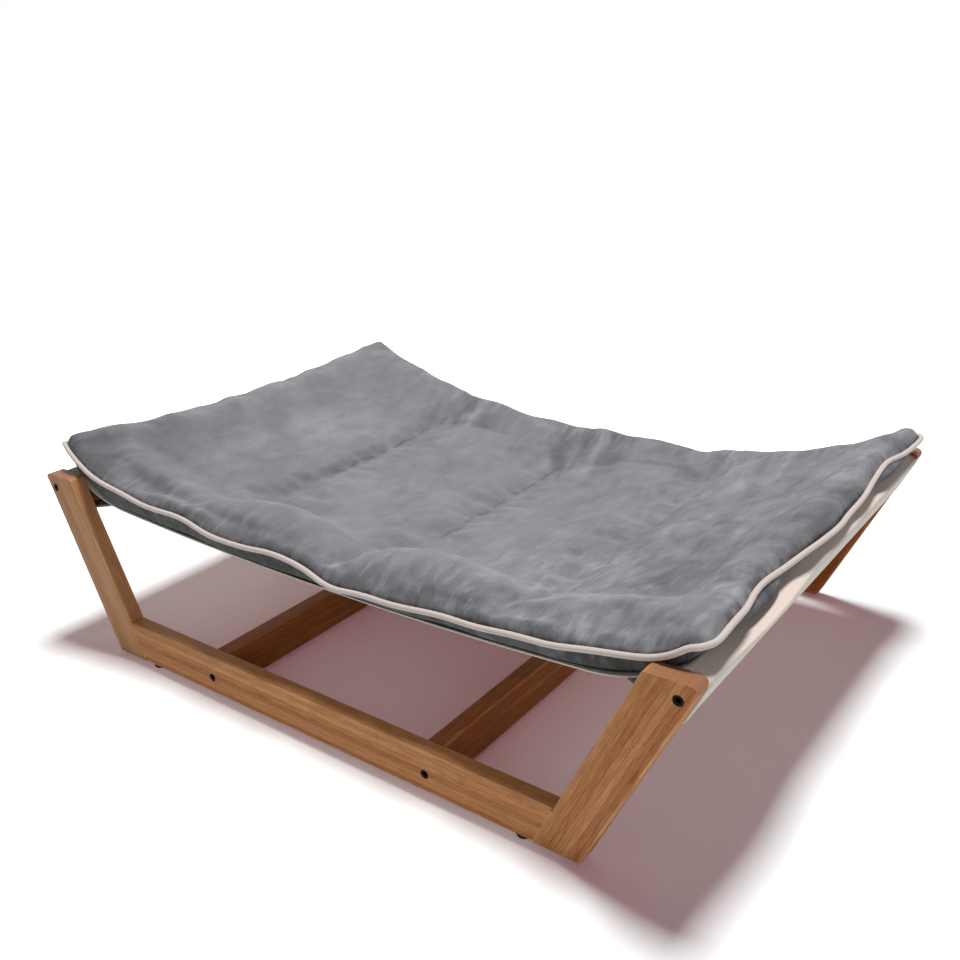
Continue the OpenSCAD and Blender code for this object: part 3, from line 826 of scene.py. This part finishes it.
def quilting(x):
    """Depth of the sewn channels: a narrow groove at the stitches in a wide, shallow valley."""
    return sum(0.6 * hump(x, channel, STITCH_W) + 0.4 * hump(x, channel, VALLEY_W) for channel in CHANNELS)


def lobe(x):
    """0 at the ends, low at the sewn channels, and up to 1 between them."""
    marks = (-HALF_LEN, *CHANNELS, HALF_LEN)
    for i, full in enumerate(LOBES):
        t = (x - marks[i]) / (marks[i + 1] - marks[i])
        if 0 <= t <= 1:
            low = DIPS[i] + (DIPS[i + 1] - DIPS[i]) * t
            return low + (full - low) * math.sin(math.pi * t) ** 0.7
    return 0.0


def rolled(u, v):
    """Height of the stuffed roll along the front, and how much of it there is."""
    x, y, raised = outline(u, -1)
    seam = seam_z(x, y) + raised
    crest = lie_z(x, y) + raised + REST + SEAM_H + ROLL_H
    full = lobe(x)
    gap, wide = (1 + v) * HALF_WIDE, ROLL_W * (0.2 + 0.8 * full)
    face = 0.6 * rounded(gap, wide) + 0.4 * min(gap / wide, 1)
    share = min(1, 2 * full) * (1 - eased((gap - wide) / (ROLL_RUN * (0.3 + 0.7 * full))))
    return seam + max(0, crest - seam) * full * face, share


def top_point(u, v):
    """Place of a point of the top panel: a lip, a low crown, channels and the front roll."""
    x, y, raised = outline(u, v)
    end, side = seam_gaps(u, v)
    gap = seam_gap(u, v)
    lip = LIP + ((LEFT_LIP if u < 0 else RIGHT_LIP) - LIP) * side / max(end + side, 1e-6)
    rise = lip * rounded(gap, LIP_W) + (CROWN - lip) * eased((gap - LIP_W) / CROWN_W)
    sewn = CHANNEL_DEPTH * quilting(x) * rounded(gap, CROWN_W)
    low = seam_z(x, y) + raised + rise - sewn
    roll, share = rolled(u, v)
    return Vector((x, y, low + share * max(0, roll - low)))


def bottom_point(u, v):
    """Place of a point of the bottom panel, which folds out a little under each end."""
    x, y, raised = outline(u, v)
    fold = max(0, 1 - (2 * seam_gaps(u, v)[0] / UNDER_W - 1) ** 2)
    drop = rounded(seam_gap(u, v), BELLY_W) * (1 - 0.4 * fold)
    out = math.copysign(swell(y, UNDER_SWELLS), u) * fold
    return Vector((x + out, y, (seam_z(x, y) + raised) * (1 - drop) + (lie_z(x, y) + REST) * drop))


# %% Sew the panels together
PAD_COLUMNS, PAD_ROWS = 128, 92
SEWN_HALF, SEWN_FRONT, SEWN_REAR = 0.0033, -0.17, 0.24
ON_SEAM, MERGE = 1e-4, 1e-5

cushion = cloth_grid("cushion", PAD_COLUMNS, PAD_ROWS, lambda u, v: Vector((u, v, 0)), lambda u, v: (u, v))
bm = bmesh.new()
bm.from_mesh(cushion.data)
under_layer = bm.verts.layers.float.new("under")
pin_layer = bm.verts.layers.float.new("pin")
gap_layers = [bm.verts.layers.float.new(name) for name in ("end_gap", "side_gap")]
copied = bmesh.ops.duplicate(bm, geom=bm.verts[:] + bm.edges[:] + bm.faces[:])["geom"]
for vert in [item for item in copied if isinstance(item, bmesh.types.BMVert)]:
    vert[under_layer] = 1
bmesh.ops.reverse_faces(bm, faces=[item for item in copied if isinstance(item, bmesh.types.BMFace)])
for vert in bm.verts:
    u, v = vert.co.x, vert.co.y
    vert.co = bottom_point(u, v) if vert[under_layer] else top_point(u, v)
    gaps = seam_gaps(u, v)
    for layer, gap in zip(gap_layers, gaps):
        vert[layer] = gap
    from_row = min(abs(vert.co.x - channel) for channel in CHANNELS)
    sewn = from_row < SEWN_HALF and SEWN_FRONT < vert.co.y < SEWN_REAR
    at_edge = gaps[0] < LIP_W or gaps[1] < ON_SEAM
    vert[pin_layer] = 1.0 if vert[under_layer] or sewn or at_edge else 0.0
bmesh.ops.remove_doubles(bm, verts=bm.verts, dist=MERGE)
crease_layer = bm.edges.layers.float.new("crease_edge")
for edge in bm.edges:
    on_seam = all(min(vert[layer] for layer in gap_layers) < ON_SEAM for vert in edge.verts)
    edge[crease_layer] = 1.0 if on_seam else 0.0
bm.to_mesh(cushion.data)
bm.free()
print("cushion points:", len(cushion.data.vertices))

# %% [markdown]
# ## Filling the cushion
#
# Cloth that is a little too big for its seams, with pressure behind it, swells between the rows of
# stitches and puckers along the edge, just as a stuffed cover does. Blender's cloth does this: the seam,
# the stitched rows and the underside are pinned, the cloth is let out by about one per cent, and twenty
# frames of pressure fill it. The result is kept as plain points, with a cap on how far any of them may
# have moved.

# %% Fill it
FILL_FRAMES = 20
FILL_CAP = 0.007


def fill(pad):
    """Swells the pad with a short run of cloth, and returns the furthest and the mean move."""
    group = pad.vertex_groups.new(name="pins")
    for vert, value in zip(pad.data.vertices, pad.data.attributes["pin"].data):
        group.add([vert.index], value.value, "REPLACE")
    cloth = pad.modifiers.new("fill", "CLOTH")
    cloth.settings.quality = 5
    cloth.settings.mass = 0.12
    cloth.settings.tension_stiffness = 10
    cloth.settings.compression_stiffness = 10
    cloth.settings.shear_stiffness = 3
    cloth.settings.bending_stiffness = 0.08
    cloth.settings.shrink_min = -0.012
    cloth.settings.use_pressure = True
    cloth.settings.uniform_pressure_force = 1.0
    cloth.settings.vertex_group_mass = "pins"
    cloth.settings.effector_weights.gravity = 0
    cloth.collision_settings.use_collision = False
    cloth.point_cache.frame_end = FILL_FRAMES
    for frame_number in range(1, FILL_FRAMES + 1):
        scene.frame_set(frame_number)
    filled = pad.evaluated_get(bpy.context.evaluated_depsgraph_get()).data
    moves = [b.co - a.co for a, b in zip(pad.data.vertices, filled.vertices)]
    pad.modifiers.remove(cloth)
    scene.frame_set(1)
    for vert, move in zip(pad.data.vertices, moves):
        vert.co += move * min(1, FILL_CAP / max(move.length, 1e-9))
    return max(move.length for move in moves), sum(move.length for move in moves) / len(moves)


print("furthest and mean move, m:", [round(move, 4) for move in fill(cushion)])

# %% [markdown]
# ## Puckers
#
# A seam gathers the cloth a little as it is sewn, so short creases run in from it at right angles. They
# are finer than the grid that was filled, so they come after one round of subdivision: noise that is
# stretched along the creases, strongest just inside the seam, and gone a hand's width further in. The
# rear edge and the left end also have small ripples right at the seam.

# %% Make the cloth finer
smooth = cushion.modifiers.new("smooth", "SUBSURF")
smooth.levels = smooth.render_levels = 1
finer = bpy.data.meshes.new_from_object(cushion.evaluated_get(bpy.context.evaluated_depsgraph_get()))
cushion.modifiers.clear()
cushion.data = finer
print("cushion faces:", len(finer.polygons))

# %% Creases, each kind with its width, run, reach and depth
FRONT_PUCKERS = ((0.0165, 0.09, 0.045, 0.0026), (0.034, 0.15, 0.085, 0.0036))
BACK_PUCKERS = ((0.022, 0.3, 0.08, 0.004), (0.045, 0.4, 0.12, 0.005))
END_PUCKERS = ((0.0165, 0.09, 0.03, 0.0009), (0.034, 0.15, 0.05, 0.0014))
FRONT_GATHERS = ((0.0, 1.0, 9.0), (0.33, 0.9, 0.05))
BACK_GATHERS = ((0.0, 0.4, 9.0), (-0.2, 0.8, 0.05), (0.03, 1.8, 0.06), (0.2, 1.2, 0.05))
PUCKER_START, BACK_START = 0.012, 0.05
FRONT_SEED, BACK_SEED, END_SEED = 12.4, 3.6, 9.4
BACK_SLANT = 0.3
CRUMPLE, CRUMPLE_W, CRUMPLE_EASE = 0.0006, 0.05, 0.02
RIPPLE, RIPPLE_W, RIPPLE_REACH = 0.0022, 0.024, 0.03
SEAM_EASE = 0.006


def reach(gap, start, length):
    """0 at the seam, full at the start, and 0 again further in than the length."""
    return eased(gap / start) * (1 - eased((gap - start) / length))


def puckers(kinds, across, along, gap, start, seed):
    """Height of the creases that run in from one edge."""
    return sum(depth * reach(gap, start, length) * noise.noise((across / width, along / run, seed))
               for width, run, length, depth in kinds)


def ripples(spot, gap):
    """Height of the small waves right at an edge."""
    return RIPPLE * noise.noise(spot) * (1 - eased((gap - PUCKER_START) / RIPPLE_REACH))


# %% Gather the cloth at the seam
def gathered(x, y, end_gap, side_gap):
    """Height of the creases at a place on the top."""
    crumple = noise.fractal((x / CRUMPLE_W, y / CRUMPLE_W, 5.5), 0.7, 2.0, 3)
    height = CRUMPLE * crumple * min(1, end_gap / CRUMPLE_EASE, side_gap / CRUMPLE_EASE)
    if y < 0:
        front = puckers(FRONT_PUCKERS, x, y, side_gap, PUCKER_START, FRONT_SEED)
        height += swell(x, FRONT_GATHERS) * front
    else:
        back = puckers(BACK_PUCKERS, x + BACK_SLANT * y, y, side_gap, BACK_START, BACK_SEED)
        height += swell(x, BACK_GATHERS) * back
        height += ripples((x / RIPPLE_W, 1.7, 4.3), side_gap)
    if x < 0:
        height += ripples((2.6, y / RIPPLE_W, 8.2), end_gap)
    return height + puckers(END_PUCKERS, y, x, end_gap, PUCKER_START, math.copysign(END_SEED, x))


normals = [vert.normal.copy() for vert in finer.vertices]
end_gaps, side_gaps = (finer.attributes[name].data for name in ("end_gap", "side_gap"))
tallest = 0
for vert, normal, end, side in zip(finer.vertices, normals, end_gaps, side_gaps):
    if normal.z > 0:
        height = gathered(vert.co.x, vert.co.y, end.value, side.value)
        height *= min(1, normal.z * 2, end.value / SEAM_EASE, side.value / SEAM_EASE)
        vert.co += normal * height
        tallest = max(tallest, height)
for face in finer.polygons:
    face.use_smooth = True
print("tallest crease, m:", round(tallest, 4))

# %% [markdown]
# ## Brushed cloth
# The cover has a short nap, like suede. Where a hand has stroked it the nap lies another way and looks
# lighter or darker, so the tone is soft cloudy patches with no hard edge, a few broad spots, and thin
# scuffs near the front right corner. Fine noise stands for the nap itself. Small tucks stand along the
# seam, with painted light and shade on them and thin lines of painted shade between them. The rows of
# stitches are thin broken lines of painted shade in soft smears, and painted light and shade draws folds
# that fan out beside their rear ends. Each of these is a function of its own, and the last one adds them
# up. It also paints shade on slopes that face the front and the right, on the underside, and in a band
# along the right end's seam.

# %% Places and colours on the cover
# For each row of stitches: its place, its front end, its rear end and the strength of its painted shade and
# fans.
CREASES = ((-0.205, -0.06, 0.25, 0.55), (0.005, -0.11, 0.2, 0.6), (0.21, -0.04, 0.1, 0.15))
# For each brushed spot: its place, its width, and how much lighter it is.
BRUSHED = ((-0.33, -0.22, 0.12, -0.085), (-0.09, -0.28, 0.08, -0.07), (-0.336, 0.05, 0.12, 0.07),
           (0.31, -0.05, 0.18, -0.085), (0.39, 0.25, 0.08, 0.06), (0.207, -0.26, 0.06, -0.1),
           (0.33, -0.14, 0.09, -0.06), (0.2, -0.1, 0.09, 0.05))
DEEP_NAP_AND_SHADE, DARK_NAP = (0.06,) * 3, (0.15, 0.15, 0.16)
GREY_NAP, PALE_NAP = (0.245, 0.245, 0.26), (0.355, 0.355, 0.373)
NAP_TONE = 0.487
TUCKS_PER_M, TUCK_RUN = 72, 16
FAN_SHIFT, FANS_PER_M = 0.025, 34
WANDER = 0.026


# %% Tucks along the seam
def tucked(look, place, near_end):
    """Small folds that run in from the seam, with thin lines of painted shade between them; in the tone they
    are painted light and shade.
    """
    x, y = look.split(place)[:2]
    side_gap = look.stored("side_gap")
    groups = 0.35 + look.cloud(place, 19, detail=1).between(0.4, 0.6) * 0.65
    from_side = look.cloud(look.joined(x * TUCKS_PER_M, y * TUCK_RUN, 0), 1, distortion=0.8)
    from_end = look.cloud(look.joined(x * TUCK_RUN, y * TUCKS_PER_M, 7), 1, distortion=0.8)
    side_tucks = (from_side - 0.5) * groups
    end_tucks = (from_end - 0.5) * groups
    shade_lines = (1 - abs(side_tucks).between(0.0, 0.035)) * (1 - side_gap.between(0.012, 0.04))
    near_side = 1 - side_gap.between(0.012, 0.075)
    return side_tucks * near_side + end_tucks * near_end * 0.55 - shade_lines * 0.12


# %% Scuffs and brushed spots
def scuffed(look, place):
    """Thin strokes where the nap was rubbed."""
    x, y = look.split(place)[:2]
    slanted = look.turned(place, (0, 0, -0.5), (1, 0.3, 1))
    strokes = look.cloud(slanted, 95, detail=3, roughness=0.55, distortion=0.5).between(0.48, 0.72)
    here_and_there = look.cloud(place, 9, detail=1).between(0.48, 0.6)
    front_right = x.between(0.02, 0.16) * (1 - y.between(-0.12, 0.04))
    return strokes * (here_and_there * 0.06 + front_right * 0.09)


def spotted(look, x, y):
    """How much lighter or darker the broad brushed spots are."""
    total = 0
    for spot_x, spot_y, wide, lift in BRUSHED:
        off = look.node("ShaderNodeVectorMath", {"operation": "DISTANCE"},
                        {0: look.joined(x, y, 0), 1: (spot_x, spot_y, 0)}, out="Value")
        total = total + (1 - off.between(wide * 0.2, wide)) * lift
    return total


# %% Rows of stitches
def painted_fans(look, x, y):
    """Painted light and shade of folds that fan out beside the rear end of each row."""
    fan_shading = look.cloud(look.joined((x + y * 0.3) * FANS_PER_M, y * 9, 2), 1, detail=1, distortion=0.6) - 0.5
    total = 0
    for middle, _, rear, strength in CREASES:
        beside = 1 - abs(x - middle - FAN_SHIFT).between(0.015, 0.085)
        along = y.between(rear - 0.12, rear - 0.02) * (1 - y.between(0.27, 0.3))
        total = total + fan_shading * beside * along * strength * 1.3
    return total


def shade_creases(look, x, y, tint):
    """Paints shade along the rows, each as a thin line in a soft smear."""
    wander = (look.cloud(look.joined(0, y * 26, x * 9), 1, detail=3) - 0.5) * WANDER
    breaks = look.cloud(look.joined(x * 30, y * 45, 3), 1).between(0.3, 0.62)
    for middle, front, rear, strength in CREASES:
        along = y.between(front, front + 0.04) * (1 - y.between(rear - 0.04, rear))
        off = abs(x - middle + wander)
        thin = 1 - off.between(0.0006, 0.0045)
        smear = 1 - off.between(0.002, 0.016)
        crease_shade = (thin * 0.6 + smear * 0.28) * along * breaks
        tint = look.mix(crease_shade * strength, tint, DEEP_NAP_AND_SHADE)
    return tint


# %% Suede
def suede(name):
    """The brushed cloth of the cover."""
    look = Finish(name)
    place = look.where()
    x, y = look.split(place)[:2]
    right, back = look.split(look.where("Normal"))[:2]
    near_end = 1 - look.stored("end_gap").between(0.012, 0.05)
    under = look.stored("under").between(0.2, 0.8)
    stroked = look.turned(place, (0, 0, 0.4), (1.2, 0.6, 1))
    pressed = look.turned(place, (0, 0, 0.2), (1, 0.5, 1))

    patches = look.cloud(place, 14, detail=3, distortion=0.4)
    strokes = look.cloud(stroked, 36, detail=3, distortion=0.6)
    crushed = look.cloud(pressed, 85, detail=3, roughness=0.55, distortion=0.5)
    nap = look.cloud(place, 1300, roughness=0.7)
    tucks = tucked(look, place, near_end)

    rougher = x.between(0.05, 0.3)
    clouds = (patches - 0.5) * (0.25 + rougher * 0.12)
    brushed = ((strokes - 0.5) * 0.3 + (crushed - 0.5) * 0.15) * (0.75 + rougher * 0.85)
    # Painted shade: slopes that face the front, and less those that face the right, are darker.
    facing = (right * 0.3 - back * 0.85) * (1 - y.between(0.0, 0.12) * 0.6)
    tone = NAP_TONE + clouds + brushed + (nap - 0.5) * 0.08 + tucks * 0.5 - facing * 0.28
    tone = tone + scuffed(look, place) + spotted(look, x, y) + painted_fans(look, x, y)
    # Painted shade: the underside is darker, and so is a band along the right end's seam.
    tone = tone - near_end * x.between(0.2, 0.3) * 0.05 - under * 0.18
    tint = look.ramp(tone, [(0.0, DEEP_NAP_AND_SHADE), (0.3, DARK_NAP), (0.5, GREY_NAP), (0.7, PALE_NAP)])
    tint = shade_creases(look, x, y, tint)
    height = nap * 0.3 + strokes * 1.2 + crushed * 0.7 + tucks * 4
    return look.close(
        Base_Color=tint, Roughness=0.92, Normal=look.relief(height, 0.0007), Specular_IOR_Level=0.15,
        Sheen_Weight=0.12, Sheen_Roughness=0.45,
    )


cushion.data.materials.append(suede("grey_suede"))
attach(cushion, "cushion")
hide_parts("cushion_top_panel", "cushion_fill", "cushion_bottom_panel")
print("cover nodes:", len(cushion.data.materials[0].node_tree.nodes))

# %% [markdown]
# ## Piping
#
# Piping is a cord in a strip of cloth, caught in the seam all the way round. A closed curve along the
# seam with a round bevel makes the cord, and it is turned into a mesh so that it exports as any other
# piece does. At the rear the cover swells over its seam, so there the cord is tucked a little way under.

# %% Piping
PIPING_R = 0.0028
PIPING_TUCK = 0.002
PIPING_STEPS = 150
SOILED_BINDING, CLEAN_BINDING = (0.6, 0.5, 0.465), (0.72, 0.625, 0.585)


def rim_points():
    """Points just outside the seam, once round the cushion."""
    ticks = [2 * i / PIPING_STEPS - 1 for i in range(PIPING_STEPS)]
    front, right = [(t, -1) for t in ticks], [(1, t) for t in ticks]
    rear, left = [(-t, 1) for t in ticks], [(-1, -t) for t in ticks]
    for u, v in front + right + rear + left:
        x, y, raised = outline(u, v)
        out = Vector((u if abs(u) == 1 else 0, v if abs(v) == 1 else 0)).normalized() * PIPING_R
        tuck = PIPING_TUCK * max(0, v) ** 30 * (1 - u ** 8)
        yield Vector((x + out.x, y + out.y - tuck / 2, seam_z(x, y) + raised - tuck))


seam_curve = bpy.data.curves.new("piping", "CURVE")
seam_curve.dimensions = "3D"
seam_curve.bevel_depth = PIPING_R
seam_curve.bevel_resolution = 4
rim = list(rim_points())
line = seam_curve.splines.new("POLY")
line.points.add(len(rim) - 1)
line.use_cyclic_u = True
for point, spot in zip(line.points, rim):
    point.co = (*spot, 1)
drawn = bpy.data.objects.new("piping_line", seam_curve)
scene.collection.objects.link(drawn)
piping_mesh = bpy.data.meshes.new_from_object(drawn.evaluated_get(bpy.context.evaluated_depsgraph_get()))
bpy.data.objects.remove(drawn)
piping = bpy.data.objects.new("cushion_piping_cord", piping_mesh)
scene.collection.objects.link(piping)
for face in piping_mesh.polygons:
    face.use_smooth = True


def binding(name):
    """The woven strip round the cord."""
    look = Finish(name)
    place = look.where()
    weave = look.cloud(place, 1300, detail=2)
    soil = look.cloud(place, 40, detail=3)
    tint = look.mix(weave * 0.4 + soil * 0.5, SOILED_BINDING, CLEAN_BINDING)
    return look.close(
        Base_Color=tint, Roughness=0.85, Normal=look.relief(weave, 0.0002), Specular_IOR_Level=0.2,
        Sheen_Weight=0.1, Sheen_Roughness=0.5,
    )


piping_mesh.materials.clear()
piping_mesh.materials.append(binding("piping_binding"))
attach(piping, "cushion")
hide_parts("cushion_piping")
print("piping faces:", len(piping_mesh.polygons))

# %% [markdown]
# ## Sizes of the solids and of the dressed model
#
# The dressed model has to stay the size of the solids, so both boxes are worked out and printed at the end.

# %% Work out the boxes
boxes = {"cad": solid_box, "visual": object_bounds()}
{name: [list(corner) for corner in box] for name, box in boxes.items()}
print("boxes:", boxes)
